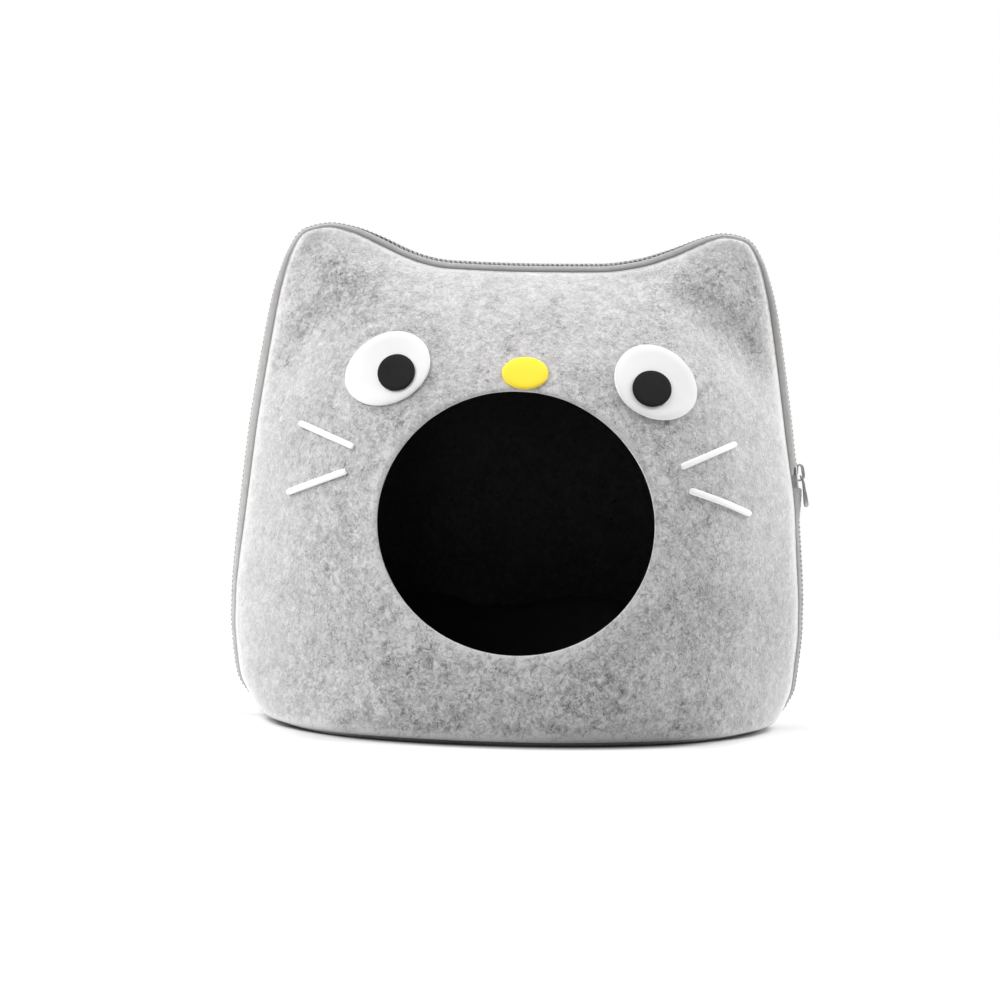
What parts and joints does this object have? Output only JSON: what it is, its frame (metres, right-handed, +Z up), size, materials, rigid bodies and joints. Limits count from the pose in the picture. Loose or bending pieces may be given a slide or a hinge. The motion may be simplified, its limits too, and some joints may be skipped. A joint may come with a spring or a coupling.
{
  "type": "felt cat cave",
  "caption": "Zip-up felt cave bed for a cat, with ears, a round entrance, a plain cat face and a padded mat inside.",
  "frame": {"origin": "on the floor under the middle of the cave", "axes": "+X to the side with the zip's slider, +Y to the back, away from the entrance, +Z up"},
  "size_m": [0.4051, 0.2799, 0.3483],
  "materials": {
    "felt": "mottled pale grey needle felt",
    "zip_tape": "grey woven tape",
    "zip_teeth": "fine dark grey coil",
    "zip_metal": "satin cast metal",
    "white_felt": "smooth white felt",
    "black_felt": "smooth black felt",
    "yellow_felt": "smooth yellow felt",
    "mat_fabric": "black brushed fabric"
  },
  "bodies": {
    "root": {"felt_front": "felt", "felt_back": "felt", "zip_tape_front": "zip_tape", "zip_tape_back": "zip_tape", "zip_chain": "zip_teeth", "zip_slider": "zip_metal", "zip_pull": "zip_metal", "eye_left": "white_felt", "eye_right": "white_felt", "pupil_left": "black_felt", "pupil_right": "black_felt", "nose": "yellow_felt", "whisker_1": "white_felt", "whisker_2": "white_felt", "whisker_3": "white_felt", "whisker_4": "white_felt", "mat": "mat_fabric"}
  },
  "joints": []
}
